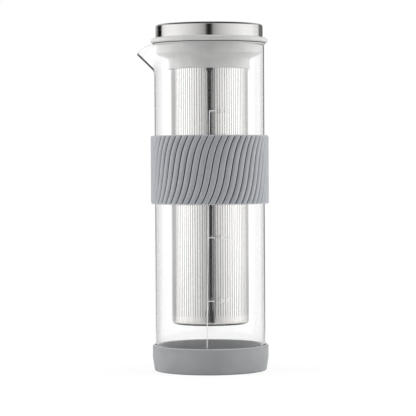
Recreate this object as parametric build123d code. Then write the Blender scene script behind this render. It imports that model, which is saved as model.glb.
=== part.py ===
from build123d import *
import math
import os

# Cold brew coffee maker: a tall glass carafe with a pulled spout stands in a silicone boot.
# A silicone stopper plugs its mouth and carries a slotted steel filter, and a steel lid
# closes the stopper. Millimetres, +Z up, the spout towards -X, the origin at the centre
# of the boot's underside.

# Glass carafe
GLASS_RADIUS = 38.9
GLASS_WALL = 1.7
GLASS_FLOOR = 3.0
GLASS_HEIGHT = 228.2
GLASS_HEEL_RADIUS = 6.5

# Pulled spout: it leaves the wall at its root, and its lip drops from the rim to the tip
SPOUT_REACH = 12.4
SPOUT_ROOT_DROP = 18.5
SPOUT_TIP_DROP = 6.5
SPOUT_HALF_ANGLE = 30.0
SPOUT_NOSE_RADIUS = 6.0

# Silicone boot under the glass
BOOT_FLOOR = 2.4
BOOT_WALL = 2.0
BOOT_HEIGHT = 18.4
BOOT_TAPER_HEIGHT = 9.4
BOOT_TAPER_INSET = 1.4
BOOT_EDGE_ROUND = 1.2
BOOT_RIM_BEVEL = 1.1

# Ribbed silicone grip sleeve round the glass
SLEEVE_LIFT = 99.8
SLEEVE_HEIGHT = 48.4
SLEEVE_WALL = 2.7
RIB_COUNT = 54
RIB_RISE = 0.75
RIB_LEAN = 14.2
RIB_MIDDLE_SHARE = 0.54
RIB_SECTIONS = 7
SLEEVE_BEVEL = 1.0

# Silicone stopper collar
FLANGE_HEIGHT = 5.0
FLANGE_OVERHANG = 2.7
FLANGE_TOP_ROUND = 2.2
FLANGE_NOSE_HEIGHT = 2.0
FLANGE_NOSE_ROUND = 1.0
COLLAR_BODY_DEPTH = 6.3
COLLAR_BODY_WALL = 4.0
COLLAR_SHOULDER_ROUND = 1.6
COLLAR_SLOPE_DROP = 3.4
COLLAR_NECK_WALL = 1.3
COLLAR_NECK_ROUND = 2.4
COLLAR_DEPTH = 17.1
COLLAR_LEDGE_DEPTH = 5.8
MOUTH_CHAMFER = 0.8

# Slotted steel filter
FILTER_RADIUS = 27.3
SHEET = 0.5
FILTER_FLOOR_GAP = 27.7
FILTER_CORNER = 2.3
FILTER_BASE_LAND = 0.6
FILTER_BASE_SPIGOT = 4.0
FILTER_PLAIN_BAND = 7.8
FILTER_TOP_MARGIN = 13.5
SLOT_COLUMNS = 96
SLOT_WIDTH = 0.5
SEAM_COLUMNS = 1
RIM_SPIGOT = 8.0
RIM_UPSTAND = 1.6

# Steel lid with its moulded plug and seal
LID_SETBACK = 0.9
LID_HEIGHT = 9.4
LID_SHEET = 0.6
LID_EDGE_ROUND = 1.3
LID_CURL = 2.2
PLUG_WALL = 2.0
PLUG_DEPTH = 7.3
PLUG_CLEAR = 0.8
SEAL_HEIGHT = 3.0
SEAL_GROOVE = 1.2
SEAL_DROP = 1.6
SEAL_LIP = 0.5

# Clearances
STRETCH_CLEAR = 0.3
STOPPER_CLEAR = 0.2
SLIDE_CLEAR = 0.2
WELD_CLEAR = 0.02
SEAL_CLEAR = 0.05

# Heights and radii worked out from the sizes above
GLASS_BORE = GLASS_RADIUS - GLASS_WALL
RIM_Z = BOOT_FLOOR + GLASS_HEIGHT
GLASS_FLOOR_Z = BOOT_FLOOR + GLASS_FLOOR
SPOUT_ROOT_Z = RIM_Z - SPOUT_ROOT_DROP
BOOT_BORE = GLASS_RADIUS + STRETCH_CLEAR
BOOT_RADIUS = BOOT_BORE + BOOT_WALL
SLEEVE_BORE = GLASS_RADIUS + STRETCH_CLEAR
SLEEVE_Z = BOOT_HEIGHT + SLEEVE_LIFT
COLLAR_BODY_RADIUS = GLASS_BORE - STOPPER_CLEAR
MOUTH_RADIUS = COLLAR_BODY_RADIUS - COLLAR_BODY_WALL
COLLAR_TOP_Z = RIM_Z + FLANGE_HEIGHT
COLLAR_BOTTOM_Z = RIM_Z - COLLAR_DEPTH
LEDGE_Z = RIM_Z - COLLAR_LEDGE_DEPTH
NECK_BORE = FILTER_RADIUS + SLIDE_CLEAR
FILTER_BORE = FILTER_RADIUS - SHEET
FILTER_BASE_Z = GLASS_FLOOR_Z + FILTER_FLOOR_GAP
TUBE_BOTTOM_Z = FILTER_BASE_Z + FILTER_CORNER + FILTER_BASE_LAND
TUBE_TOP_Z = LEDGE_Z
SLOT_BOTTOM_Z = FILTER_BASE_Z + FILTER_PLAIN_BAND
SLOT_TOP_Z = TUBE_TOP_Z - FILTER_TOP_MARGIN
LID_RADIUS = GLASS_RADIUS - LID_SETBACK
LID_TOP_Z = COLLAR_TOP_Z + LID_HEIGHT
PLUG_RADIUS = MOUTH_RADIUS - PLUG_CLEAR
PLUG_FLANGE_Z = COLLAR_TOP_Z + LID_SHEET + SEAL_CLEAR
PLUG_BOTTOM_Z = COLLAR_TOP_Z - PLUG_DEPTH
SEAL_TOP_Z = COLLAR_TOP_Z - SEAL_DROP


def turned(*corners):
    """A solid of revolution about Z from (radius, height) corners; a third value rounds one."""
    places = [(corner[0], 0, corner[1]) for corner in corners]
    rounds = [corner[2] if len(corner) > 2 else 0 for corner in corners]
    outline = FilletPolyline(*places, radius=rounds, close=True)
    return revolve(make_face(outline), Axis.Z)


def polar(radius, degrees, z):
    """A point by its distance from the axis, its bearing and its height."""
    angle = math.radians(degrees)
    return Vector(radius * math.cos(angle), radius * math.sin(angle), z)


def mirrored_outline(points, z):
    """An outline of four arcs from one side's points, turned to -X.

    The points are the flank's start, its middle, its joint with the nose, and the tip.
    """
    start, halfway, joint, tip = [Vector(-p.X, p.Y, z) for p in points]
    other_start, other_halfway, other_joint = [Vector(-p.X, -p.Y, z) for p in points[:3]]
    back = Vector(points[0].length, 0, z)
    return Wire(
        [
            ThreePointArc(other_start, back, start),
            ThreePointArc(start, halfway, joint),
            ThreePointArc(joint, tip, other_joint),
            ThreePointArc(other_joint, other_halfway, other_start),
        ]
    )


def spout_outlines(inset):
    """The round outline at the spout's root and the beaked one at the rim's height.

    The flanks of the beak are tangent to the wall and to the nose, and an inset outline
    runs parallel to the outside one.
    """
    wall = GLASS_RADIUS - inset
    nose = SPOUT_NOSE_RADIUS - inset
    reach = SPOUT_REACH * SPOUT_ROOT_DROP / (SPOUT_ROOT_DROP - SPOUT_TIP_DROP)
    nose_centre = Vector(GLASS_RADIUS + reach - SPOUT_NOSE_RADIUS, 0, 0)
    slant = nose_centre.X * math.cos(math.radians(SPOUT_HALF_ANGLE))
    flank_distance = (nose_centre.X**2 - (wall - nose) ** 2) / (2 * (slant - wall + nose))
    flank_centre = polar(flank_distance, SPOUT_HALF_ANGLE, 0)
    flank = flank_distance - wall
    start = polar(wall, SPOUT_HALF_ANGLE, 0)
    joint = flank_centre + (nose_centre - flank_centre).normalized() * flank
    halfway = flank_centre + ((start + joint) * 0.5 - flank_centre).normalized() * flank
    tip = nose_centre + Vector(nose, 0, 0)
    beaked = [start, halfway, joint, tip]
    plain = [polar(wall, math.degrees(math.atan2(p.Y, p.X)), 0) for p in beaked]
    return mirrored_outline(plain, SPOUT_ROOT_Z), mirrored_outline(beaked, RIM_Z)


def ruled_solid(outlines):
    """A solid between flat outlines, straight from each one to the next."""
    return loft([Face(outline) for outline in outlines], ruled=True)


def carafe():
    """Thin blown glass: straight wall, rounded heel, open mouth and a pulled spout."""
    heel_bore = GLASS_HEEL_RADIUS - GLASS_WALL
    lower = turned(
        (0, BOOT_FLOOR),
        (GLASS_RADIUS, BOOT_FLOOR, GLASS_HEEL_RADIUS),
        (GLASS_RADIUS, SPOUT_ROOT_Z),
        (GLASS_BORE, SPOUT_ROOT_Z),
        (GLASS_BORE, GLASS_FLOOR_Z, heel_bore),
        (0, GLASS_FLOOR_Z),
    )
    upper = ruled_solid(spout_outlines(0)) - ruled_solid(spout_outlines(GLASS_WALL))
    lip_radius = (SPOUT_REACH**2 + SPOUT_TIP_DROP**2) / (2 * SPOUT_TIP_DROP)
    lip_width = 2 * GLASS_RADIUS
    above_lip = Pos(-GLASS_RADIUS, 0, RIM_Z - lip_radius) * Box(
        2 * lip_radius, lip_width, 2 * lip_radius, align=(Align.MAX, Align.CENTER, Align.MIN)
    )
    lip_curve = Pos(-GLASS_RADIUS, 0, RIM_Z - lip_radius) * Rot(90, 0, 0) * Cylinder(
        lip_radius, lip_width
    )
    upper -= above_lip - lip_curve
    return lower + upper


def base_boot():
    """Silicone cup that the glass stands in, its rim bevelled inwards to the glass."""
    bore_round = GLASS_HEEL_RADIUS + STRETCH_CLEAR
    return turned(
        (0, 0),
        (BOOT_RADIUS - BOOT_TAPER_INSET, 0, BOOT_EDGE_ROUND),
        (BOOT_RADIUS, BOOT_TAPER_HEIGHT),
        (BOOT_RADIUS, BOOT_HEIGHT - BOOT_RIM_BEVEL, BOOT_RIM_BEVEL / 2),
        (BOOT_BORE, BOOT_HEIGHT),
        (BOOT_BORE, BOOT_FLOOR, bore_round),
        (0, BOOT_FLOOR),
    )


def rib_outline(radius, turn, z):
    """A ring of round ribs that meet in sharp grooves, turned about the axis."""
    pitch = 360 / RIB_COUNT
    arcs = []
    for rib in range(RIB_COUNT):
        bearing = turn + rib * pitch
        groove = polar(radius - RIB_RISE, bearing, z)
        crest = polar(radius, bearing + pitch / 2, z)
        next_groove = polar(radius - RIB_RISE, bearing + pitch, z)
        arcs.append(ThreePointArc(groove, crest, next_groove))
    return Wire(arcs)


def grip_sleeve():
    """Silicone band with ribs that lean to the right in a slow S from edge to edge."""
    radius = SLEEVE_BORE + SLEEVE_WALL
    lean = math.degrees(RIB_LEAN / radius)
    outlines = []
    for section in range(RIB_SECTIONS):
        height = section / (RIB_SECTIONS - 1)
        s = 2 * height - 1
        turn = lean / 2 * (RIB_MIDDLE_SHARE * s + (1 - RIB_MIDDLE_SHARE) * s**3)
        outlines.append(rib_outline(radius, turn, SLEEVE_Z + SLEEVE_HEIGHT * height))
    band = turned(
        (SLEEVE_BORE, SLEEVE_Z),
        (radius - SLEEVE_BEVEL, SLEEVE_Z),
        (radius, SLEEVE_Z + SLEEVE_BEVEL),
        (radius, SLEEVE_Z + SLEEVE_HEIGHT - SLEEVE_BEVEL),
        (radius - SLEEVE_BEVEL, SLEEVE_Z + SLEEVE_HEIGHT),
        (SLEEVE_BORE, SLEEVE_Z + SLEEVE_HEIGHT),
    )
    return ruled_solid(outlines) & band


def stopper_collar():
    """Silicone stopper: a flange over the glass rim, a body in the mouth, a neck on the filter."""
    flange_radius = GLASS_RADIUS + FLANGE_OVERHANG
    neck = NECK_BORE + COLLAR_NECK_WALL
    shoulder_z = RIM_Z - COLLAR_BODY_DEPTH
    return turned(
        (MOUTH_RADIUS, COLLAR_TOP_Z - MOUTH_CHAMFER),
        (MOUTH_RADIUS + MOUTH_CHAMFER, COLLAR_TOP_Z),
        (flange_radius, COLLAR_TOP_Z, FLANGE_TOP_ROUND),
        (flange_radius, RIM_Z + FLANGE_NOSE_HEIGHT, FLANGE_NOSE_ROUND),
        (flange_radius - FLANGE_NOSE_HEIGHT, RIM_Z, FLANGE_NOSE_ROUND / 4),
        (COLLAR_BODY_RADIUS, RIM_Z),
        (COLLAR_BODY_RADIUS, shoulder_z, COLLAR_SHOULDER_ROUND),
        (neck, shoulder_z - COLLAR_SLOPE_DROP, COLLAR_NECK_ROUND),
        (neck, COLLAR_BOTTOM_Z),
        (NECK_BORE, COLLAR_BOTTOM_Z),
        (NECK_BORE, LEDGE_Z),
        (MOUTH_RADIUS, LEDGE_Z),
    )


def filter_tube():
    """Rolled steel sheet with fine upright slots, plain at both ends and along its seam."""
    tube = turned(
        (FILTER_BORE, TUBE_BOTTOM_Z),
        (FILTER_RADIUS, TUBE_BOTTOM_Z),
        (FILTER_RADIUS, TUBE_TOP_Z),
        (FILTER_BORE, TUBE_TOP_Z),
    )
    pitch = 360 / SLOT_COLUMNS
    cutter = Pos(FILTER_RADIUS, 0, SLOT_BOTTOM_Z) * Box(
        4 * SHEET,
        SLOT_WIDTH,
        SLOT_TOP_Z - SLOT_BOTTOM_Z,
        align=(Align.CENTER, Align.CENTER, Align.MIN),
    )
    slots = [
        Rot(0, 0, 90 + column * pitch) * cutter for column in range(SEAM_COLUMNS, SLOT_COLUMNS)
    ]
    return tube - slots


def filter_base():
    """Drawn steel cup that closes the tube: a round corner, then a spigot inside the tube."""
    spigot = FILTER_BORE - WELD_CLEAR
    return turned(
        (0, FILTER_BASE_Z),
        (FILTER_RADIUS, FILTER_BASE_Z, FILTER_CORNER),
        (FILTER_RADIUS, TUBE_BOTTOM_Z - WELD_CLEAR),
        (spigot, TUBE_BOTTOM_Z - WELD_CLEAR),
        (spigot, TUBE_BOTTOM_Z + FILTER_BASE_SPIGOT),
        (spigot - SHEET, TUBE_BOTTOM_Z + FILTER_BASE_SPIGOT),
        (spigot - SHEET, FILTER_BASE_Z + SHEET, FILTER_CORNER - SHEET),
        (0, FILTER_BASE_Z + SHEET),
    )


def filter_rim():
    """Spun steel ring in the tube's mouth, whose flange hangs on the stopper's ledge."""
    spigot = FILTER_BORE - WELD_CLEAR
    edge = MOUTH_RADIUS - SLIDE_CLEAR
    return turned(
        (spigot - SHEET, LEDGE_Z - RIM_SPIGOT),
        (spigot, LEDGE_Z - RIM_SPIGOT),
        (spigot, LEDGE_Z),
        (edge, LEDGE_Z, SHEET),
        (edge, LEDGE_Z + RIM_UPSTAND),
        (edge - SHEET, LEDGE_Z + RIM_UPSTAND),
        (edge - SHEET, LEDGE_Z + SHEET),
        (spigot - SHEET, LEDGE_Z + SHEET, SHEET),
    )


def lid_shell():
    """Drawn steel cap, polished, with its lower edge curled in under the plug."""
    bore = LID_RADIUS - LID_SHEET
    top = LID_TOP_Z - LID_SHEET
    return turned(
        (0, top),
        (bore, top, LID_EDGE_ROUND - LID_SHEET),
        (bore, COLLAR_TOP_Z + LID_SHEET),
        (LID_RADIUS - LID_CURL, COLLAR_TOP_Z + LID_SHEET),
        (LID_RADIUS - LID_CURL, COLLAR_TOP_Z),
        (LID_RADIUS, COLLAR_TOP_Z, LID_SHEET / 2),
        (LID_RADIUS, LID_TOP_Z, LID_EDGE_ROUND),
        (0, LID_TOP_Z),
    )


def lid_plug():
    """Moulded insert: a cup that enters the stopper, on a flange trapped in the lid."""
    flange = LID_RADIUS - LID_SHEET - SEAL_CLEAR
    flange_top = LID_TOP_Z - LID_SHEET - SEAL_CLEAR
    inside = PLUG_RADIUS - PLUG_WALL
    groove = PLUG_RADIUS - SEAL_GROOVE
    return turned(
        (0, PLUG_BOTTOM_Z),
        (PLUG_RADIUS, PLUG_BOTTOM_Z, PLUG_WALL / 2),
        (PLUG_RADIUS, SEAL_TOP_Z - SEAL_HEIGHT),
        (groove, SEAL_TOP_Z - SEAL_HEIGHT),
        (groove, SEAL_TOP_Z),
        (PLUG_RADIUS, SEAL_TOP_Z),
        (PLUG_RADIUS, PLUG_FLANGE_Z),
        (flange, PLUG_FLANGE_Z),
        (flange, flange_top, LID_EDGE_ROUND),
        (flange - PLUG_WALL, flange_top),
        (flange - PLUG_WALL, PLUG_FLANGE_Z + PLUG_WALL),
        (inside - SEAL_GROOVE, PLUG_FLANGE_Z + PLUG_WALL),
        (inside - SEAL_GROOVE, PLUG_BOTTOM_Z + PLUG_WALL),
        (0, PLUG_BOTTOM_Z + PLUG_WALL),
    )


def lid_seal():
    """Silicone ring in the plug's groove, with two lips that wipe the stopper's mouth."""
    back = PLUG_RADIUS - SEAL_GROOVE + SEAL_CLEAR
    lip = MOUTH_RADIUS - SLIDE_CLEAR
    top = SEAL_TOP_Z - SEAL_CLEAR
    bottom = SEAL_TOP_Z - SEAL_HEIGHT + SEAL_CLEAR
    return turned(
        (back, bottom),
        (lip - SEAL_LIP, bottom),
        (lip, bottom + SEAL_LIP),
        (lip - SEAL_LIP, bottom + 2 * SEAL_LIP),
        (lip - SEAL_LIP, top - 2 * SEAL_LIP),
        (lip, top - SEAL_LIP),
        (lip - SEAL_LIP, top),
        (back, top),
    )


PARTS = (
    carafe,
    base_boot,
    grip_sleeve,
    stopper_collar,
    filter_tube,
    filter_rim,
    filter_base,
    lid_shell,
    lid_plug,
    lid_seal,
)

os.makedirs("parts", exist_ok=True)
for build in PARTS:
    export_step(build(), f"parts/{build.__name__}.step")
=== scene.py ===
import math

import bmesh
import bpy
from mathutils import Matrix, Vector

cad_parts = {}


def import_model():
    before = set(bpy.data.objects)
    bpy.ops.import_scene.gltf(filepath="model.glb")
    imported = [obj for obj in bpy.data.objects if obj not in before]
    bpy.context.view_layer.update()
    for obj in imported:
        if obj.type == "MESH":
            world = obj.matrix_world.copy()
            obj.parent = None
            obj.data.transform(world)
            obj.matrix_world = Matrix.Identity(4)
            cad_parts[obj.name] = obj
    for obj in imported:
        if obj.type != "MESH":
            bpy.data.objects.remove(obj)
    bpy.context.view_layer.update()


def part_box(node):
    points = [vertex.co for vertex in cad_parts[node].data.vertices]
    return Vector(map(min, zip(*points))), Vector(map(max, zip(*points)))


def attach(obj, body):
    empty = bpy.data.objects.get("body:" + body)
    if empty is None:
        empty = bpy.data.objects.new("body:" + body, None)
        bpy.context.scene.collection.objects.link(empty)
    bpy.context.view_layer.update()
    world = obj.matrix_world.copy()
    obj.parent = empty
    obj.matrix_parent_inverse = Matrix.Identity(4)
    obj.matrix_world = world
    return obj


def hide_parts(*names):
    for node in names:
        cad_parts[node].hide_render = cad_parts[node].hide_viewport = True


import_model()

# Meshes are shaped in millimetres and scaled to metres when each piece is finished.
MM = 0.001


def corner_of(node, end):
    """The lowest (0) or highest (1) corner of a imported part, in millimetres."""
    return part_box(node)[end] / MM


# Clearances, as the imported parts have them
STRETCH_CLEAR = 0.3
STOPPER_CLEAR = 0.2
SLIDE_CLEAR = 0.2
WELD_CLEAR = 0.02
SEAL_CLEAR = 0.05

# Glass carafe
GLASS_RADIUS = corner_of("carafe", 1).y
GLASS_WALL = 1.7
GLASS_BORE = GLASS_RADIUS - GLASS_WALL
GLASS_FOOT = corner_of("carafe", 0).z
GLASS_FLOOR = GLASS_FOOT + 3.0
GLASS_HEEL = 6.5
GLASS_STEPS = 288
GLASS_CROWDING = 0.75
RIM = corner_of("carafe", 1).z
RIM_ROUND = 0.8

# Pulled spout, towards -X
SPOUT_REACH = -corner_of("carafe", 0).x - GLASS_RADIUS
SPOUT_ROOT_DROP = 18.5
SPOUT_TIP_DROP = 6.5
SPOUT_HALF_ANGLE = math.radians(30)
SPOUT_NOSE = 6.0
SPOUT_ROOT = RIM - SPOUT_ROOT_DROP
SPOUT_SOFTNESS = 0.07
SPOUT_BLEND = 4 * SPOUT_SOFTNESS
SPOUT_RINGS = 36
LIP_TRIES = 16

# Ribbed sleeve
SLEEVE_FOOT = corner_of("grip_sleeve", 0).z
SLEEVE_HEIGHT = corner_of("grip_sleeve", 1).z - SLEEVE_FOOT
SLEEVE_RADIUS = corner_of("grip_sleeve", 1).y
RIB_COUNT = 54
RIB_STEPS = 12
RIB_ROWS = 48
RIB_TURN = 0.95
RIB_LEAN = 15.5
RIB_MIDDLE_SHARE = 0.54
RIB_CROWN = 0.4
RIB_GROOVE = 1.5
RIB_GROOVE_POWER = 6
SLEEVE_EDGE_ROUND = 0.5
SLEEVE_PLAIN_EDGE = 1.6
SLEEVE_FADE_POWER = 0.7

# Boot
BOOT_RADIUS = corner_of("base_boot", 1).y
BOOT_TOP = corner_of("base_boot", 1).z
BOOT_TAPER_INSET = 1.4
BOOT_TAPER_HEIGHT = 9.4
BOOT_TAPER_ROUND = 8
BOOT_FOOT_ROUND = 1.0
BOOT_RIM_BEVEL = 1.1
BOOT_RIM_CHAMFER = 0.5

# Stopper
FLANGE_RADIUS = corner_of("stopper_collar", 1).y
COLLAR_TOP = corner_of("stopper_collar", 1).z
COLLAR_FOOT = corner_of("stopper_collar", 0).z
COLLAR_BODY = GLASS_BORE - STOPPER_CLEAR
COLLAR_BODY_DEPTH = 6.3
COLLAR_SHOULDER_ROUND = 1.6
COLLAR_SLOPE_DROP = 3.4
COLLAR_WALL = 4.0
COLLAR_NECK_WALL = 1.3
COLLAR_NECK_ROUND = 2.4
MOUTH_RADIUS = COLLAR_BODY - COLLAR_WALL
MOUTH_CHAMFER = 0.8
FLANGE_TOP_ROUND = 2.1
FLANGE_NOSE_HEIGHT = 2.1
FLANGE_NOSE_ROUND = 1.0
FLANGE_SEAT_INSET = 2.0

# The gap under the flange's lip
FLANGE_LIP = 1.3
FLANGE_GAP_TOP = 1.35
FLANGE_GAP_FOOT = 0.85
FLANGE_GAP_DEPTH = 2.4
FLANGE_GAP_SILL = 1.7

# Filter
FILTER_RADIUS = corner_of("filter_tube", 1).y
FILTER_FOOT = corner_of("filter_base", 0).z
TUBE_FOOT = corner_of("filter_tube", 0).z
LEDGE = corner_of("filter_tube", 1).z
SHEET = 0.5
FILTER_CORNER = 2.3
CUP_SPIGOT = 4.0
RING_SPIGOT = 8.0
RING_UPSTAND = 1.6
SLOT_COLUMNS = 96
SLOT_WIDTH = 0.34
SLOT_FOOT = FILTER_FOOT + 6.2
SLOT_TOP = COLLAR_FOOT + 0.5
BAR_FACETS = 3
NECK_BORE = FILTER_RADIUS + SLIDE_CLEAR

# Lid
LID_RADIUS = corner_of("lid_shell", 1).y
LID_TOP = corner_of("lid_shell", 1).z
LID_SHEET = 0.6
LID_EDGE_ROUND = 1.7
LID_CURL = 2.2
PLUG_CLEAR = 0.8
PLUG_RADIUS = MOUTH_RADIUS - PLUG_CLEAR
PLUG_FOOT = corner_of("lid_plug", 0).z
PLUG_WALL = 2.0
SEAL_TOP = corner_of("lid_seal", 1).z
SEAL_FOOT = corner_of("lid_seal", 0).z
SEAL_GROOVE = 1.2
SEAL_LIP = 0.5

# Printed scale on the front of the glass
SCALE_STEP = 43.9
SCALE_FIRST = 51.5
SCALE_NUMBERS = ("200", "400", "600", "800")
SCALE_FOOT = 14.0
SCALE_LINE_WIDTH = 0.6
SCALE_TICK = 4.6
SCALE_NUMBER_SIZE = 4.0
SCALE_NUMBER_GAP = 4.0
SCALE_SLANT = 0.0148
SCALE_OFFSET = -2.55
INK_THICKNESS = 0.05

# Mesh quality
TURN_STEPS = 192
ROUND_STEP = math.radians(12)
SHARP_EDGE = math.radians(38)
MERGE_DISTANCE = 0.0005

# Studio: the floor in millimetres, lamps and camera in metres
FLOOR_RADIUS = 6000
FLOOR_STEPS = 96
LAMP_SIZE = (0.9, 1.1)
LAMP_ENERGY = 5.0
LAMP_DISTANCE = 1.0
LAMP_FORWARD = -0.15
LAMP_HEIGHT = 0.45
LAMP_TARGET = (0, 0, 0.12)
CAMERA_LENS = 170.4
CAMERA_SENSOR = 36
CAMERA_PLACE = (-0.0014, -1.4, 0.149)
CAMERA_TARGET = (-0.0014, 0, 0.1151)
CAMERA_ROLL = math.radians(-0.3)

# How many glass surfaces a ray has crossed when it lights what stands inside the glass,
# and what stands behind it, as matt surfaces and as mirroring ones see it
CROSSED_INSIDE = 2.5
CROSSED_BEHIND = 5.5
CROSSED_BEHIND_MIRROR = 6.5


# Mesh tools


def rounded(corners):
    """Points of an outline from (radius, height[, round]) corners, each round as an arc."""
    points = []
    neighbours = zip(corners[-1:] + corners[:-1], corners, corners[1:] + corners[:1])
    for before, corner, after in neighbours:
        place = Vector(corner[:2])
        if len(corner) == 2:
            points.append(place)
            continue
        back = (Vector(before[:2]) - place).normalized()
        ahead = (Vector(after[:2]) - place).normalized()
        half = back.angle(ahead) / 2
        centre = place + (back + ahead).normalized() * (corner[2] / math.sin(half))
        first = place + back * (corner[2] / math.tan(half)) - centre
        last = place + ahead * (corner[2] / math.tan(half)) - centre
        sweep = -first.angle_signed(last)
        steps = max(2, math.ceil(abs(sweep) / ROUND_STEP))
        for step in range(steps + 1):
            points.append(centre + Matrix.Rotation(sweep * step / steps, 2) @ first)
    return points


def outline(bm, corners):
    """Draw an outline in the XZ plane; one that starts on the axis also ends there."""
    verts = [bm.verts.new((point.x, 0, point.y)) for point in rounded(corners)]
    pairs = list(zip(verts, verts[1:]))
    if corners[0][0] > 0:
        pairs.append((verts[-1], verts[0]))
    for pair in pairs:
        bm.edges.new(pair)


def turn(bm, steps=TURN_STEPS):
    """Spin all that is drawn once about Z."""
    bmesh.ops.spin(
        bm,
        geom=bm.verts[:] + bm.edges[:],
        cent=(0, 0, 0),
        axis=(0, 0, 1),
        angle=2 * math.pi,
        steps=steps,
        use_merge=True,
    )


def cut_rings(bm, lowest, highest, count):
    """Cut level rings into what is drawn, evenly between two heights."""
    for ring in range(count + 1):
        level = lowest + (highest - lowest) * ring / count
        drawn = bm.verts[:] + bm.edges[:] + bm.faces[:]
        bmesh.ops.bisect_plane(bm, geom=drawn, plane_co=(0, 0, level), plane_no=(0, 0, 1))


def extruded(bm, edges):
    """Extrude a loop of edges and give the new loop's edges and verts."""
    made = bmesh.ops.extrude_edge_only(bm, edges=edges)["geom"]
    loop = [item for item in made if isinstance(item, bmesh.types.BMEdge)]
    return loop, list({vert for edge in loop for vert in edge.verts})


def finished(bm, name):
    """Merge doubles, turn the faces out, mark the sharp edges and make the object."""
    bmesh.ops.remove_doubles(bm, verts=bm.verts, dist=MERGE_DISTANCE)
    bmesh.ops.recalc_face_normals(bm, faces=bm.faces)
    for face in bm.faces:
        face.smooth = True
    for edge in bm.edges:
        edge.smooth = edge.calc_face_angle(0) < SHARP_EDGE
    bmesh.ops.scale(bm, vec=(MM, MM, MM), verts=bm.verts)
    mesh = bpy.data.meshes.new(name)
    bm.to_mesh(mesh)
    bm.free()
    piece = bpy.data.objects.new(name, mesh)
    bpy.context.scene.collection.objects.link(piece)
    flat_walls = piece.modifiers.new("flat_walls", "WEIGHTED_NORMAL")
    flat_walls.keep_sharp = True
    return piece


def turned(name, *corners):
    """A finished solid of revolution."""
    bm = bmesh.new()
    outline(bm, list(corners))
    turn(bm)
    return finished(bm, name)


# Glass


def beak_radius(bearing, inset):
    """How far out the full-height beak lies at a bearing from the spout.

    The nose is an arc about a centre on the spout's line, and each flank is an arc that
    is tangent to the nose and to the round wall. An inset outline runs parallel.
    """
    wall = GLASS_RADIUS
    nose = SPOUT_NOSE - inset
    reach = SPOUT_REACH * SPOUT_ROOT_DROP / (SPOUT_ROOT_DROP - SPOUT_TIP_DROP)
    nose_centre = wall + reach - SPOUT_NOSE
    slant = nose_centre * math.cos(SPOUT_HALF_ANGLE)
    flank_centre = (nose_centre**2 - (wall - SPOUT_NOSE) ** 2) / (2 * (slant - wall + SPOUT_NOSE))
    across = Vector((math.cos(SPOUT_HALF_ANGLE), math.sin(SPOUT_HALF_ANGLE))) * flank_centre
    along = Vector((nose_centre, 0))
    joint = along + (across - along).normalized() * nose
    if bearing >= SPOUT_HALF_ANGLE:
        return wall - inset
    if bearing <= math.atan2(joint.y, joint.x):
        off_centre = nose_centre * math.sin(bearing)
        return nose_centre * math.cos(bearing) + math.sqrt(nose**2 - off_centre**2)
    off = SPOUT_HALF_ANGLE - bearing
    flank = flank_centre - wall + inset
    return flank_centre * math.cos(off) - math.sqrt(flank**2 - (flank_centre * math.sin(off)) ** 2)


def lip_drop(reach):
    """How far the lip has dropped below the rim at a distance out from the wall."""
    bend = (SPOUT_REACH**2 + SPOUT_TIP_DROP**2) / (2 * SPOUT_TIP_DROP)
    return bend - math.sqrt(bend**2 - min(max(reach, 0), bend) ** 2)


def pull_spout(vert):
    """Move a point of the round wall to where the pulled spout has it."""
    height = (vert.co.z - SPOUT_ROOT) / SPOUT_ROOT_DROP
    bearing = abs(math.atan2(vert.co.y, -vert.co.x))
    if height < -SPOUT_BLEND or bearing >= SPOUT_HALF_ANGLE:
        return
    radius = vert.co.xy.length
    spread = beak_radius(bearing, GLASS_RADIUS - radius) - radius
    share = 1
    for _ in range(LIP_TRIES):
        reach = (radius + spread * share) * math.cos(bearing) - GLASS_RADIUS
        share = (share + 1 - lip_drop(reach) / SPOUT_ROOT_DROP) / 2
    rise = height * share if height > 0 else height
    out = (rise + math.hypot(rise, SPOUT_SOFTNESS)) / 2
    vert.co.xy *= 1 + spread * out / radius
    vert.co.z = SPOUT_ROOT + rise * SPOUT_ROOT_DROP


def carafe():
    """Blown glass tube with a rounded heel, a fire-polished rim and the pulled spout."""
    bm = bmesh.new()
    outline(
        bm,
        [
            (0, GLASS_FOOT),
            (GLASS_RADIUS, GLASS_FOOT, GLASS_HEEL),
            (GLASS_RADIUS, RIM, RIM_ROUND),
            (GLASS_BORE, RIM, RIM_ROUND),
            (GLASS_BORE, GLASS_FLOOR, GLASS_HEEL - GLASS_WALL),
            (0, GLASS_FLOOR),
        ],
    )
    below_spout = SPOUT_ROOT - SPOUT_BLEND * SPOUT_ROOT_DROP
    below_rim = RIM - 1.2 * RIM_ROUND
    cut_rings(bm, below_spout, below_rim, SPOUT_RINGS)
    turn(bm, GLASS_STEPS)
    for vert in bm.verts:
        crowd = GLASS_CROWDING * math.sin(math.atan2(vert.co.y, -vert.co.x))
        vert.co = Matrix.Rotation(crowd, 3, "Z") @ vert.co
        pull_spout(vert)
    return finished(bm, "glass_carafe")


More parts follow.
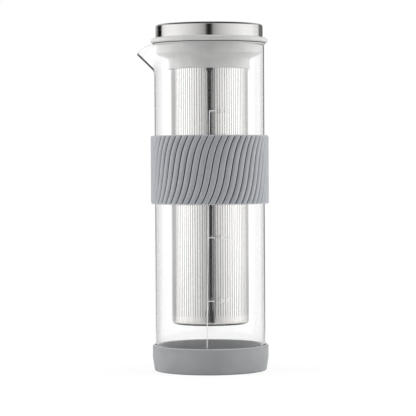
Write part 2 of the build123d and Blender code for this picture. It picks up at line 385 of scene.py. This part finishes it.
def printed_scale():
    """The line, ticks and numbers printed on the front of the glass."""
    bm = bmesh.new()
    top = SCALE_FIRST + SCALE_STEP * (len(SCALE_NUMBERS) - 1)
    bars = [(0, (SCALE_FOOT + top) / 2, SCALE_LINE_WIDTH, top - SCALE_FOOT)]
    for count, number in enumerate(SCALE_NUMBERS):
        level = SCALE_FIRST + SCALE_STEP * count
        bars.append((SCALE_TICK / 2, level, SCALE_TICK, SCALE_LINE_WIDTH))
        text = bpy.data.curves.new(number, "FONT")
        text.body = number
        text.size = SCALE_NUMBER_SIZE
        text.align_x = "LEFT"
        text.align_y = "CENTER"
        holder = bpy.data.objects.new(number, text)
        letters = bpy.data.meshes.new_from_object(holder)
        letters.transform(Matrix.Translation((SCALE_TICK + SCALE_NUMBER_GAP, level, 0)))
        bm.from_mesh(letters)
        bpy.data.objects.remove(holder)
    for x, level, width, height in bars:
        bmesh.ops.create_grid(
            bm,
            x_segments=max(1, round(width)),
            y_segments=1,
            size=0.5,
            matrix=Matrix.Translation((x, level, 0)) @ Matrix.Diagonal((width, height, 1, 1)),
        )
    raised = bmesh.ops.extrude_face_region(bm, geom=bm.faces[:], use_keep_orig=True)["geom"]
    for item in raised:
        if isinstance(item, bmesh.types.BMVert):
            item.co.z = INK_THICKNESS
    for vert in bm.verts:
        along, level, lift = vert.co
        slant = SCALE_OFFSET + SCALE_SLANT * (level - SCALE_FOOT)
        around = (along + slant) / GLASS_RADIUS
        radius = GLASS_RADIUS + lift
        vert.co = (radius * math.sin(around), -radius * math.cos(around), level)
    return finished(bm, "printed_scale")


# Silicone


def ribbed_sleeve():
    """Moulded band whose round ribs lean to the right in a slow S between two plain edges."""
    bm = bmesh.new()
    count = RIB_COUNT * RIB_STEPS
    ring = bmesh.ops.create_circle(bm, segments=count, radius=SLEEVE_RADIUS)["verts"]
    for vert in ring:
        bearing = math.atan2(vert.co.y, vert.co.x) - RIB_TURN / SLEEVE_RADIUS
        across = bearing * RIB_COUNT / math.pi % 2 - 1
        depth = RIB_CROWN * across**2 + RIB_GROOVE * abs(across) ** RIB_GROOVE_POWER
        vert.co.xy *= 1 - depth / SLEEVE_RADIUS
    loop = bm.edges[:]
    first_loop = loop
    bmesh.ops.translate(bm, vec=(0, 0, SLEEVE_FOOT), verts=ring)
    last_s = -1
    for row in range(1, RIB_ROWS + 1):
        s = -math.cos(math.pi * row / RIB_ROWS)
        loop, verts = extruded(bm, loop)
        lean = RIB_MIDDLE_SHARE * (s - last_s) + (1 - RIB_MIDDLE_SHARE) * (s**3 - last_s**3)
        turn_by = Matrix.Rotation(RIB_LEAN / SLEEVE_RADIUS * lean / 2, 3, "Z")
        bmesh.ops.rotate(bm, cent=(0, 0, 0), matrix=turn_by, verts=verts)
        bmesh.ops.translate(bm, vec=(0, 0, SLEEVE_HEIGHT * (s - last_s) / 2), verts=verts)
        last_s = s
    for vert in bm.verts:
        edge = min(vert.co.z - SLEEVE_FOOT, SLEEVE_FOOT + SLEEVE_HEIGHT - vert.co.z)
        ribbed = min(1, max(0, edge / SLEEVE_PLAIN_EDGE)) ** SLEEVE_FADE_POWER
        inside = max(0, SLEEVE_EDGE_ROUND - edge)
        shy = SLEEVE_EDGE_ROUND - math.sqrt(SLEEVE_EDGE_ROUND**2 - inside**2)
        radius = vert.co.xy.length
        plain = SLEEVE_RADIUS - RIB_CROWN
        vert.co.xy *= (plain + (radius - plain) * ribbed - shy) / radius
    for drop in (0, SLEEVE_HEIGHT):
        loop, verts = extruded(bm, loop)
        for vert in verts:
            vert.co.xy = vert.co.xy.normalized() * (GLASS_RADIUS + STRETCH_CLEAR)
            vert.co.z -= drop
    bmesh.ops.bridge_loops(bm, edges=first_loop + loop)
    return finished(bm, "ribbed_sleeve")


def base_boot():
    """Silicone cup under the glass, its rim bevelled in to the wall."""
    bore = GLASS_RADIUS + STRETCH_CLEAR
    return turned(
        "silicone_boot",
        (0, 0),
        (BOOT_RADIUS - BOOT_TAPER_INSET, 0, BOOT_FOOT_ROUND),
        (BOOT_RADIUS, BOOT_TAPER_HEIGHT, BOOT_TAPER_ROUND),
        (BOOT_RADIUS, BOOT_TOP - BOOT_RIM_BEVEL, 0.5),
        (bore + BOOT_RIM_CHAMFER, BOOT_TOP, 0.35),
        (bore, BOOT_TOP - BOOT_RIM_CHAMFER, 0.3),
        (bore, GLASS_FOOT, GLASS_HEEL + STRETCH_CLEAR),
        (0, GLASS_FOOT),
    )


def stopper():
    """Silicone stopper: flange over the rim, body in the mouth, neck round the filter."""
    neck = NECK_BORE + COLLAR_NECK_WALL
    shoulder = RIM - COLLAR_BODY_DEPTH
    return turned(
        "silicone_stopper",
        (MOUTH_RADIUS, COLLAR_TOP - MOUTH_CHAMFER, 0.3),
        (MOUTH_RADIUS + MOUTH_CHAMFER, COLLAR_TOP, 0.3),
        (FLANGE_RADIUS, COLLAR_TOP, FLANGE_TOP_ROUND),
        (FLANGE_RADIUS, RIM + FLANGE_NOSE_HEIGHT, FLANGE_NOSE_ROUND),
        (FLANGE_RADIUS - FLANGE_LIP, RIM + FLANGE_GAP_TOP, 0.2),
        (FLANGE_RADIUS - FLANGE_GAP_DEPTH, RIM + FLANGE_GAP_TOP - 0.05, 0.1),
        (FLANGE_RADIUS - FLANGE_GAP_DEPTH, RIM + FLANGE_GAP_FOOT + 0.1, 0.1),
        (FLANGE_RADIUS - FLANGE_GAP_SILL, RIM + FLANGE_GAP_FOOT, 0.15),
        (FLANGE_RADIUS - FLANGE_SEAT_INSET, RIM, 0.2),
        (COLLAR_BODY, RIM, 0.15),
        (COLLAR_BODY, shoulder, COLLAR_SHOULDER_ROUND),
        (neck, shoulder - COLLAR_SLOPE_DROP, COLLAR_NECK_ROUND),
        (neck, COLLAR_FOOT, 0.3),
        (NECK_BORE, COLLAR_FOOT, 0.2),
        (NECK_BORE, LEDGE, 0.2),
        (MOUTH_RADIUS, LEDGE, 0.4),
    )


def lid_ring():
    """Silicone seal with two lips that wipe the stopper's mouth."""
    back = PLUG_RADIUS - SEAL_GROOVE + SEAL_CLEAR
    lip = MOUTH_RADIUS - SLIDE_CLEAR
    waist = lip - SEAL_LIP
    return turned(
        "lid_seal_ring",
        (back, SEAL_FOOT),
        (waist, SEAL_FOOT),
        (lip, SEAL_FOOT + SEAL_LIP, 0.15),
        (waist, SEAL_FOOT + 2 * SEAL_LIP, 0.2),
        (waist, SEAL_TOP - 2 * SEAL_LIP, 0.2),
        (lip, SEAL_TOP - SEAL_LIP, 0.15),
        (waist, SEAL_TOP),
        (back, SEAL_TOP),
    )


# Steel


def slotted_sheet():
    """Rolled sheet with an upright slot in every column but the one along its weld."""
    bm = bmesh.new()
    facets = BAR_FACETS + 1
    pitch = 2 * math.pi / SLOT_COLUMNS
    slot = SLOT_WIDTH / FILTER_RADIUS
    bar = (pitch - slot) / BAR_FACETS
    count = SLOT_COLUMNS * facets
    ring = bmesh.ops.create_circle(bm, segments=count, radius=FILTER_RADIUS)["verts"]
    for vert in ring:
        index = round(math.atan2(vert.co.y, vert.co.x) * count / (2 * math.pi)) % count
        column, facet = divmod(index, facets)
        bearing = column * pitch + (slot + bar * (facet - 1) if facet else 0)
        bearing += math.pi / 2 - slot / 2
        vert.co = (FILTER_RADIUS * math.cos(bearing), FILTER_RADIUS * math.sin(bearing), TUBE_FOOT)
    loop = bm.edges[:]
    for level in (SLOT_FOOT, SLOT_TOP, LEDGE):
        loop, verts = extruded(bm, loop)
        for vert in verts:
            vert.co.z = level
    cut = []
    for face in bm.faces:
        centre = face.calc_center_median()
        bearing = (math.atan2(centre.y, centre.x) - math.pi / 2) / pitch
        column = round(bearing) % SLOT_COLUMNS
        in_slot = abs(bearing - round(bearing)) < slot / pitch
        if SLOT_FOOT < centre.z < SLOT_TOP and in_slot and column:
            cut.append(face)
    bmesh.ops.delete(bm, geom=cut, context="FACES")
    inner = bmesh.ops.extrude_face_region(bm, geom=bm.faces[:], use_keep_orig=True)["geom"]
    for item in inner:
        if isinstance(item, bmesh.types.BMVert):
            item.co.xy *= 1 - SHEET / FILTER_RADIUS
    return finished(bm, "slotted_filter")


def filter_cup():
    """Drawn cup that closes the filter's lower end."""
    spigot = FILTER_RADIUS - SHEET - WELD_CLEAR
    return turned(
        "filter_cup",
        (0, FILTER_FOOT),
        (FILTER_RADIUS, FILTER_FOOT, FILTER_CORNER),
        (FILTER_RADIUS, TUBE_FOOT - WELD_CLEAR),
        (spigot, TUBE_FOOT - WELD_CLEAR),
        (spigot, TUBE_FOOT + CUP_SPIGOT),
        (spigot - SHEET, TUBE_FOOT + CUP_SPIGOT),
        (spigot - SHEET, FILTER_FOOT + SHEET, FILTER_CORNER - SHEET),
        (0, FILTER_FOOT + SHEET),
    )


def filter_ring():
    """Spun ring in the filter's mouth; its flange hangs on the stopper's ledge."""
    spigot = FILTER_RADIUS - SHEET - WELD_CLEAR
    edge = MOUTH_RADIUS - SLIDE_CLEAR
    return turned(
        "filter_ring",
        (spigot - SHEET, LEDGE - RING_SPIGOT),
        (spigot, LEDGE - RING_SPIGOT),
        (spigot, LEDGE),
        (edge, LEDGE, SHEET),
        (edge, LEDGE + RING_UPSTAND, 0.2),
        (edge - SHEET, LEDGE + RING_UPSTAND, 0.2),
        (edge - SHEET, LEDGE + SHEET, 0.2),
        (spigot - SHEET, LEDGE + SHEET, SHEET),
    )


def lid_cap():
    """Drawn and polished cap, its lower edge curled in."""
    bore = LID_RADIUS - LID_SHEET
    return turned(
        "lid_cap",
        (0, LID_TOP - LID_SHEET),
        (bore, LID_TOP - LID_SHEET, 0.7),
        (bore, COLLAR_TOP + LID_SHEET, 0.1),
        (LID_RADIUS - LID_CURL, COLLAR_TOP + LID_SHEET, 0.1),
        (LID_RADIUS - LID_CURL, COLLAR_TOP, 0.1),
        (LID_RADIUS, COLLAR_TOP, 0.15),
        (LID_RADIUS, LID_TOP, LID_EDGE_ROUND),
        (0, LID_TOP),
    )


# Plastic


def lid_insert():
    """Moulded insert: a cup that enters the stopper, on a flange trapped in the lid."""
    flange = LID_RADIUS - LID_SHEET - SEAL_CLEAR
    flange_top = LID_TOP - LID_SHEET - SEAL_CLEAR
    flange_foot = COLLAR_TOP + LID_SHEET + SEAL_CLEAR
    inside = PLUG_RADIUS - PLUG_WALL - SEAL_GROOVE
    groove = PLUG_RADIUS - SEAL_GROOVE
    return turned(
        "lid_insert",
        (0, PLUG_FOOT),
        (PLUG_RADIUS, PLUG_FOOT, PLUG_WALL / 2),
        (PLUG_RADIUS, SEAL_FOOT - SEAL_CLEAR, 0.15),
        (groove, SEAL_FOOT - SEAL_CLEAR),
        (groove, SEAL_TOP + SEAL_CLEAR),
        (PLUG_RADIUS, SEAL_TOP + SEAL_CLEAR, 0.15),
        (PLUG_RADIUS, flange_foot),
        (flange, flange_foot),
        (flange, flange_top, PLUG_WALL / 2),
        (flange - PLUG_WALL, flange_top, 0.2),
        (flange - PLUG_WALL, flange_foot + PLUG_WALL, 0.5),
        (inside, flange_foot + PLUG_WALL, 0.5),
        (inside, PLUG_FOOT + PLUG_WALL, 0.8),
        (0, PLUG_FOOT + PLUG_WALL),
    )


# Node tools


class Shade:
    """One socket of a node tree. Arithmetic on it adds Math nodes; node() adds any other."""

    def __init__(self, tree, socket=None):
        self.tree = tree
        self.socket = socket

    def node(self, kind, settings=None, sockets=None, output=0):
        """Add a node: its settings first, then the values or links of its sockets."""
        made = self.tree.nodes.new("ShaderNode" + kind)
        for name, value in (settings or {}).items():
            setattr(made, name, value)
        for name, value in (sockets or {}).items():
            if isinstance(value, Shade):
                self.tree.links.new(value.socket, made.inputs[name])
            else:
                made.inputs[name].default_value = value
        return Shade(self.tree, made.outputs[output] if made.outputs else None)

    def output(self, name):
        """Another output of the node that this socket belongs to."""
        return Shade(self.tree, self.socket.node.outputs[name])

    def math(self, operation, *values):
        """A Math node on numbers or on other sockets."""
        return self.node("Math", {"operation": operation}, dict(enumerate(values)))

    def __add__(self, other):
        return self.math("ADD", self, other)

    def __sub__(self, other):
        return self.math("SUBTRACT", self, other)

    def __rsub__(self, other):
        return self.math("SUBTRACT", other, self)

    def __mul__(self, other):
        return self.math("MULTIPLY", self, other)

    def __truediv__(self, other):
        return self.math("DIVIDE", self, other)

    def __pow__(self, other):
        return self.math("POWER", self, other)

    def __lt__(self, other):
        return self.math("LESS_THAN", self, other)

    def __gt__(self, other):
        return self.math("GREATER_THAN", self, other)

    __radd__ = __add__
    __rmul__ = __mul__

    def size(self):
        """This number without its sign."""
        return self.math("ABSOLUTE", self)

    def smooth(self, start, end, low=0.0, high=1.0):
        """An eased step from low to high as this number goes from start to end."""
        return self.node(
            "MapRange",
            {"interpolation_type": "SMOOTHSTEP"},
            {"Value": self, "From Min": start, "From Max": end, "To Min": low, "To Max": high},
        )

    def blend(self, first, second):
        """A colour from first to second as this number goes from 0 to 1."""
        return self.node("Mix", {"data_type": "RGBA"}, {0: self, 6: first, 7: second}, output=2)

    def noise(self, place, scale, detail=2.0, stretch=(1, 1, 1)):
        """Noise from 0 to 1, at a scale per metre, over a place."""
        stretched = self.node("Mapping", sockets={"Vector": place, "Scale": stretch})
        sockets = {"Vector": stretched, "Scale": scale, "Detail": detail}
        return self.node("TexNoise", sockets=sockets)

    def bump(self, height, depth):
        """A bumped normal from a height of 0 to 1 and its depth in millimetres."""
        sockets = {"Height": height, "Strength": 1.0, "Distance": depth * MM}
        return self.node("Bump", sockets=sockets)


def colour(red, green, blue):
    """A colour written as 0 to 255 on screen, as the renderer's linear value."""
    def linear(value):
        share = value / 255
        return share / 12.92 if share <= 0.04045 else ((share + 0.055) / 1.055) ** 2.4
    return (linear(red), linear(green), linear(blue), 1)


def emptied(owner):
    """The node tree of a new material or world, with nothing in it."""
    owner.use_nodes = True
    owner.node_tree.nodes.clear()
    return Shade(owner.node_tree)


def material(name, paint):
    """A material whose surface paint() describes as values for the shader's sockets."""
    made = bpy.data.materials.new(name)
    shade = emptied(made)
    place = shade.node("TexCoord", output="Object")
    surface = shade.node("BsdfPrincipled", sockets=paint(shade, place))
    shade.node("OutputMaterial", sockets={"Surface": surface})
    return made


# Materials


def round_place(shade, place):
    """How far a place is from the axis and how high it lies, in millimetres."""
    axes = shade.node("SeparateXYZ", sockets={"Vector": place})
    y = axes.output("Y")
    return (axes * axes + y * y) ** 0.5 / MM, axes.output("Z") / MM


def clear_glass(shade, place):
    """Borosilicate glass, clear, with the faint streaks of a drawn tube, and a painted reflection:
    a near-black colour on the pulled spout's slanting keel where it is looked along, in place of
    the dark edge seen there."""
    streak = shade.noise(place, 140, 2, (1, 1, 0.05))
    axes = shade.node("SeparateXYZ", sockets={"Vector": place})
    reach = 0 - axes / MM - GLASS_RADIUS
    keel_slope = (SPOUT_ROOT_DROP - SPOUT_TIP_DROP) / SPOUT_REACH
    above_keel = axes.output("Z") / MM - SPOUT_ROOT - keel_slope * reach
    # Painted reflection: the spout's keel is coloured near-black where the glass is seen edge-on
    keel = (reach > 0.3) * above_keel.smooth(1.3, 1.9, 1.0, 0.0)
    grazed = shade.node("LayerWeight", sockets={"Blend": 0.5}, output="Facing")
    grazed = grazed.smooth(0.15, 0.35)
    drawn = streak.smooth(0.3, 0.7).blend((1, 1, 1, 1), (0.985, 0.985, 0.985, 1))
    return {
        "Base Color": (keel * grazed).blend(drawn, (0.0005, 0.0005, 0.0005, 1)),
        "Roughness": 0.0,
        "IOR": 1.47,
        "Transmission Weight": 1.0,
    }


def matt_silicone(tone, highlight_tone, shade_tone, find_highlight_and_gloss, find_painted_shade):
    """Matt moulded silicone with a fine skin and a trace of dust in it. It takes a painted
    highlight, a paler tone, and is also smoother where the first find function gives 1. It takes
    painted shade, a darker tone, where the second gives 1. The find functions give 1 there, else
    0, for a radius and a height."""

    def paint(shade, place):
        cloud = shade.noise(place, 90, 4)
        skin = shade.noise(place, 2600, 2)
        radius, height = round_place(shade, place)
        dusty = tuple(channel * 0.93 for channel in tone[:3]) + (1,)
        surface = cloud.smooth(0.35, 0.7).blend(tone, dusty)
        # Painted highlight: a paler tone where the first mask is 1, which also makes the surface
        # smoother
        highlight_and_gloss = find_highlight_and_gloss(radius, height)
        surface = highlight_and_gloss.blend(surface, highlight_tone)
        return {
            # Painted shade: a darker tone where the second mask is 1
            "Base Color": find_painted_shade(radius, height).blend(surface, shade_tone),
            "Roughness": cloud.smooth(0.3, 0.7, 0.47, 0.58) - 0.2 * highlight_and_gloss,
            "Specular IOR Level": 0.4,
            "Normal": shade.bump(skin, 0.02),
        }

    return paint


def seal_silicone(shade, place):
    """Soft pale silicone with a slight sheen."""
    cloud = shade.noise(place, 90, 4)
    return {
        "Base Color": cloud.smooth(0.35, 0.7).blend(colour(205, 205, 203), colour(196, 196, 194)),
        "Roughness": cloud.smooth(0.3, 0.7, 0.4, 0.5),
        "Normal": shade.bump(cloud, 0.02),
    }


def frosted_silicone(shade, place):
    """Pale natural silicone. The body and neck are painted paler than the flange, as painted light
    that makes up for the shade they stand in under the flange and inside the glass, and painted
    shade darkens the gap under the flange's lip."""
    cloud = shade.noise(place, 120, 3)
    skin = shade.noise(place, 2200, 2)
    radius, height = round_place(shade, place)
    # Painted light: below the flange, the body and neck are painted paler to make up for the shade
    # they stand in
    on_flange = height.smooth(RIM - 0.5, RIM + 0.3)
    neck = height.smooth(RIM - 11.0, RIM - 7.0, 1.0, 0.0)
    shade_lifted_pale = neck.blend(colour(235, 235, 234), colour(226, 226, 225))
    shade_lifted_dull = neck.blend(colour(227, 227, 226), colour(218, 218, 217))
    pale = on_flange.blend(shade_lifted_pale, colour(200, 200, 198))
    dull = on_flange.blend(shade_lifted_dull, colour(194, 194, 192))
    # Painted shade: a dark colour in the gap under the flange's lip
    lip = FLANGE_RADIUS - FLANGE_LIP
    middle = (FLANGE_GAP_TOP + FLANGE_GAP_FOOT) / 2
    gap = (height - RIM - middle).size().smooth(0.2, 0.35, 1.0, 0.0)
    gap = gap * radius.smooth(lip - 0.2, lip, 1.0, 0.0)
    surface = cloud.smooth(0.3, 0.7).blend(pale, dull)
    return {
        "Base Color": gap.blend(surface, colour(70, 68, 67)),
        "Roughness": cloud.smooth(0.3, 0.7, 0.38, 0.46),
        "Specular IOR Level": 0.25,
        "Subsurface Weight": 0.35,
        "Subsurface Radius": (0.004, 0.004, 0.004),
        "Subsurface Scale": 1.0,
        "Normal": shade.bump(skin, 0.015),
    }


def brushed_sheet(shade, place):
    """Rolled stainless sheet, satin along its length, not quite flat, duller where it has
    no slots and stained by coffee on its inner side."""
    grain = shade.noise(place, 900, 3, (1, 1, 0.02))
    wave = shade.noise(place, 45, 1, (1, 1, 0.12))
    radius, height = round_place(shade, place)
    slotted = height.smooth(SLOT_FOOT - 0.5, SLOT_FOOT + 0.5)
    dark = slotted.blend(colour(224, 222, 219), colour(234, 233, 231))
    light = slotted.blend(colour(232, 230, 227), colour(244, 243, 241))
    satin = grain.smooth(0.3, 0.7).blend(dark, light)
    stained = radius.smooth(FILTER_RADIUS - SHEET, FILTER_RADIUS - 0.15, 1.0, 0.0)
    return {
        "Base Color": stained.blend(satin, colour(128, 122, 116)),
        "Metallic": 1.0,
        "Roughness": grain.smooth(0.3, 0.7, 0.1, 0.17),
        "Normal": shade.bump(wave, 0.12),
    }


def polished_steel(shade, place):
    """Drawn and polished stainless with the faint rings that polishing leaves."""
    radius, height = round_place(shade, place)
    ring = shade.node("CombineXYZ", sockets={"X": radius * MM, "Y": 0.0, "Z": height * MM})
    rings = shade.noise(ring, 1500, 3)
    return {
        "Base Color": rings.smooth(0.3, 0.7).blend(colour(236, 234, 231), colour(242, 241, 239)),
        "Metallic": 1.0,
        "Roughness": rings.smooth(0.3, 0.7, 0.09, 0.14),
        "Normal": shade.bump(rings, 0.002),
    }


def moulded_plastic(shade, place):
    """Pale polypropylene with a fine spark-eroded texture."""
    spark = shade.noise(place, 1800, 3)
    return {
        "Base Color": spark.smooth(0.3, 0.7).blend(colour(206, 206, 204), colour(214, 214, 212)),
        "Roughness": spark.smooth(0.3, 0.7, 0.42, 0.52),
        "Normal": shade.bump(spark, 0.02),
    }


def pale_ink(shade, place):
    """Fired white ink, slightly uneven."""
    cover = shade.noise(place, 1200, 2)
    return {
        "Base Color": cover.smooth(0.3, 0.7).blend(colour(232, 232, 235), colour(240, 240, 242)),
        "Roughness": cover.smooth(0.3, 0.7, 0.4, 0.5),
    }


def rib_shoulders(radius, height):
    """1 where the crown of each of the sleeve's ribs turns down to a groove, and nearly as much on
    its plain edges, else 0. There the sleeve takes a painted highlight and is smoother.
    """
    return (radius - SLEEVE_RADIUS + 0.5).size().smooth(0.05, 0.3, 1.0, 0.0)


def rib_grooves(radius, height):
    """1 deep in the sleeve's grooves and over its whole bore, else 0. There the sleeve is painted
    dark, as painted shade.
    """
    return radius.smooth(SLEEVE_RADIUS - 1.2, SLEEVE_RADIUS - 0.55, 1.0, 0.0)


def boot_rim_and_bore(radius, height):
    """1 on the boot's rim and over its bore, else 0. There the boot is painted paler, as a painted
    highlight, and is smoother.
    """
    rim = height.smooth(BOOT_TOP - 0.9, BOOT_TOP - 0.5)
    bore = radius.smooth(GLASS_RADIUS + 0.4, GLASS_RADIUS + 0.7, 1.0, 0.0)
    return rim.math("MAXIMUM", rim, bore)


def boot_foot(radius, height):
    """1 at the edge that the boot stands on, else 0. There the boot is painted darker, as painted
    shade.
    """
    return height.smooth(0.0, 1.0, 1.0, 0.0)


# Each: the silicone's own tone, the tone of its painted highlight and the tone of its painted
# shade
BLUE_GREY = (colour(160, 163, 168), colour(190, 192, 196), colour(78, 80, 84))
PLAIN_GREY = (colour(146, 148, 150), colour(184, 186, 188), colour(120, 122, 124))

# Dressing: what each piece rides on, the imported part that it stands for, its slot and finish

glass = material("clear_glass", clear_glass)
ink = material("pale_ink", pale_ink)
sleeve_skin = material("sleeve_silicone", matt_silicone(*BLUE_GREY, rib_shoulders, rib_grooves))
boot_skin = material("boot_silicone", matt_silicone(*PLAIN_GREY, boot_rim_and_bore, boot_foot))
frosted = material("frosted_silicone", frosted_silicone)
steel_sheet = material("filter_sheet_steel", brushed_sheet)
polished = material("polished_steel", polished_steel)
plastic = material("moulded_plastic", moulded_plastic)
seal_skin = material("seal_silicone", seal_silicone)

PIECES = (
    (carafe(), "carafe", "carafe", "glass", glass),
    (printed_scale(), "carafe", None, None, ink),
    (ribbed_sleeve(), "sleeve", "grip_sleeve", "sleeve_silicone", sleeve_skin),
    (base_boot(), "boot", "base_boot", "boot_silicone", boot_skin),
    (stopper(), "stopper", "stopper_collar", "collar_silicone", frosted),
    (slotted_sheet(), "filter", "filter_tube", "filter_steel", steel_sheet),
    (filter_cup(), "filter", "filter_base", "filter_steel", steel_sheet),
    (filter_ring(), "filter", "filter_rim", "filter_steel", steel_sheet),
    (lid_cap(), "lid", "lid_shell", "lid_steel", polished),
    (lid_insert(), "lid", "lid_plug", "plug_plastic", plastic),
    (lid_ring(), "lid", "lid_seal", "seal_silicone", seal_skin),
)

for piece, body, node, slot, finish in PIECES:
    piece.data.materials.append(finish)
    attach(piece, body)
    if node:
        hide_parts(node)


# Studio


def seen_straight(path):
    """1 for what the camera sees directly or through clear glass, 0 for light on surfaces."""
    return (path.output("Glossy Depth") < 0.5) * (path.output("Diffuse Depth") < 0.5)


def kept_in_wall(path):
    """1 for light that has been thrown to and fro within the glass wall, else 0."""
    crossed = path.output("Transmission Depth")
    return (crossed > 0.5) * (crossed < 3.5) * (path.output("Glossy Depth") > 0.5)


def mirrored_studio(bearing, height, inside):
    """What polished steel mirrors: white walls at the sides, a dark gap for the camera in
    front, dark flags behind each side, an even band above them and a ceiling that is
    black in front and grey behind. Inside the glass the flags are greyer."""
    side = bearing.size()
    wall = side.math("MINIMUM", side / 80, 1.0) ** 0.5
    gap = ((bearing - 1.0 * inside).size() - 4.0 * inside).smooth(3.0, 10.0)
    fade = side.smooth(100.0, 125.0, 1.0, 0.8)
    flag_left = (bearing + 122.5).smooth(-3.0, 3.0)
    flag_left = flag_left + (bearing + 145.0).smooth(-14.0, 8.0, 0.5, 0.0)
    flag_right = bearing.smooth(130.0, 136.0, 1.0, 0.2)
    flags = flag_left * flag_right
    flags = flags + 0.55 * inside * (1.0 - flags)
    level = wall * gap * fade * flags
    level = level + height.smooth(0.2, 0.4) * (0.5 - level)
    ceiling = side.smooth(100.0, 140.0, 0.03, 0.4)
    return level * height.smooth(0.4, 0.65, 1.0, ceiling)


def lit_studio(bearing, height, inside, behind):
    """How the studio lights matt surfaces: strongly from the sides, softly from in front,
    and also from the back where it lights what stands behind the glass."""
    side = bearing.size()
    outdoor = side.smooth(25.0, 65.0, 0.27, 1.45)
    indoor = side.smooth(30.0, 72.0, 0.54, 2.6)
    level = outdoor + inside * (indoor - outdoor)
    level = level + behind * side.smooth(95.0, 135.0, 0.0, 4.0)
    return level * height.smooth(0.5, 1.0, 1.0, 0.8)


def compass(direction):
    """The bearing of a direction in degrees, 0 in front and + to the right, and its Z."""
    axes = direction.node("SeparateXYZ", sockets={"Vector": direction})
    bearing = axes.math("ARCTAN2", axes, 0 - axes.output("Y")) * (180 / math.pi)
    return bearing, axes.output("Z")


def studio_light(path, direction):
    """The studio's brightness along a direction, for the ray that is being traced. What
    stands inside the glass, or behind it, gets back the light that the glass takes."""
    bearing, height = compass(direction)
    crossed = path.output("Transmission Depth")
    inside = crossed > CROSSED_INSIDE
    given_back = 1.0 + 0.4 * inside + 2.5 * (crossed > CROSSED_BEHIND_MIRROR)
    mirrored = mirrored_studio(bearing, height, inside) * given_back
    rim_line = bearing.size().smooth(158.0, 168.0, 1.0, 0.15)
    mirrored = mirrored + kept_in_wall(path) * (rim_line - mirrored)
    lit = lit_studio(bearing, height, inside, crossed > CROSSED_BEHIND)
    level = mirrored + (path.output("Diffuse Depth") > 0.5) * (lit - mirrored)
    return level + seen_straight(path) * (1.0 - level)


def world():
    """The studio round the object, for the rays that miss the floor."""
    made = bpy.data.worlds.new("studio")
    shade = emptied(made)
    direction = shade.node("TexCoord", output="Generated")
    light = studio_light(shade.node("LightPath"), direction)
    surface = shade.node("Background", sockets={"Color": light, "Strength": 1.0})
    shade.node("OutputWorld", sockets={"Surface": surface})
    bpy.context.scene.world = made


def floor():
    """A pale matt floor that keeps the shadow near the object and turns into the studio's
    own white further off."""
    bm = bmesh.new()
    bmesh.ops.create_circle(bm, cap_ends=True, segments=FLOOR_STEPS, radius=FLOOR_RADIUS)
    plane = finished(bm, "studio_floor")
    made = bpy.data.materials.new("studio_floor")
    shade = emptied(made)
    place = shade.node("TexCoord", output="Object")
    far = shade.node("VectorMath", {"operation": "LENGTH"}, {0: place}, output="Value")
    path = shade.node("LightPath")
    inside = path.output("Transmission Depth") > CROSSED_INSIDE
    in_wall = kept_in_wall(path)
    away = (far + 0.1 * inside).smooth(0.12, 0.4)
    away = away + in_wall * (1.0 - away)
    veil = away + seen_straight(path) * (far.smooth(0.05, 0.5, 0.86, 1.0) - away)
    in_steel = inside * (path.output("Glossy Depth") > 0.5)
    light = studio_light(path, place) * (1.0 - in_steel * far.smooth(0.6, 2.0, 0.13, 0.0))
    light = light * (1.0 - in_wall * far.smooth(0.08, 0.4, 0.7, 0.0))
    lit = shade.node("BsdfDiffuse", sockets={"Color": 0.9 - 0.45 * inside})
    white = shade.node("Emission", sockets={"Color": light, "Strength": 1.0})
    surface = shade.node("MixShader", sockets={0: veil, 1: lit, 2: white})
    shade.node("OutputMaterial", sockets={"Surface": surface})
    plane.data.materials.append(made)


def aim(thing, place, target, roll=0.0):
    """Put a lamp or camera at a place and point it at a target."""
    facing = (Vector(target) - Vector(place)).to_track_quat("-Z", "Y").to_matrix().to_4x4()
    thing.matrix_world = Matrix.Translation(place) @ facing @ Matrix.Rotation(roll, 4, "Z")
    bpy.context.scene.collection.objects.link(thing)


def side_lamp(name, x):
    """A soft lamp beside the object that isn't seen itself."""
    lamp = bpy.data.lights.new(name, "AREA")
    lamp.shape = "RECTANGLE"
    lamp.size, lamp.size_y = LAMP_SIZE
    lamp.energy = LAMP_ENERGY
    thing = bpy.data.objects.new(name, lamp)
    thing.visible_glossy = False
    thing.visible_camera = False
    thing.visible_transmission = False
    aim(thing, (x, LAMP_FORWARD, LAMP_HEIGHT), LAMP_TARGET)


def camera():
    """The camera, where the photograph was taken from."""
    lens = bpy.data.cameras.new("camera")
    lens.lens = CAMERA_LENS
    lens.sensor_width = CAMERA_SENSOR
    thing = bpy.data.objects.new("camera", lens)
    aim(thing, CAMERA_PLACE, CAMERA_TARGET, CAMERA_ROLL)
    bpy.context.scene.camera = thing


world()
floor()
side_lamp("left_lamp", -LAMP_DISTANCE)
side_lamp("right_lamp", LAMP_DISTANCE)
camera()

scene = bpy.context.scene
scene.view_settings.view_transform = "Standard"
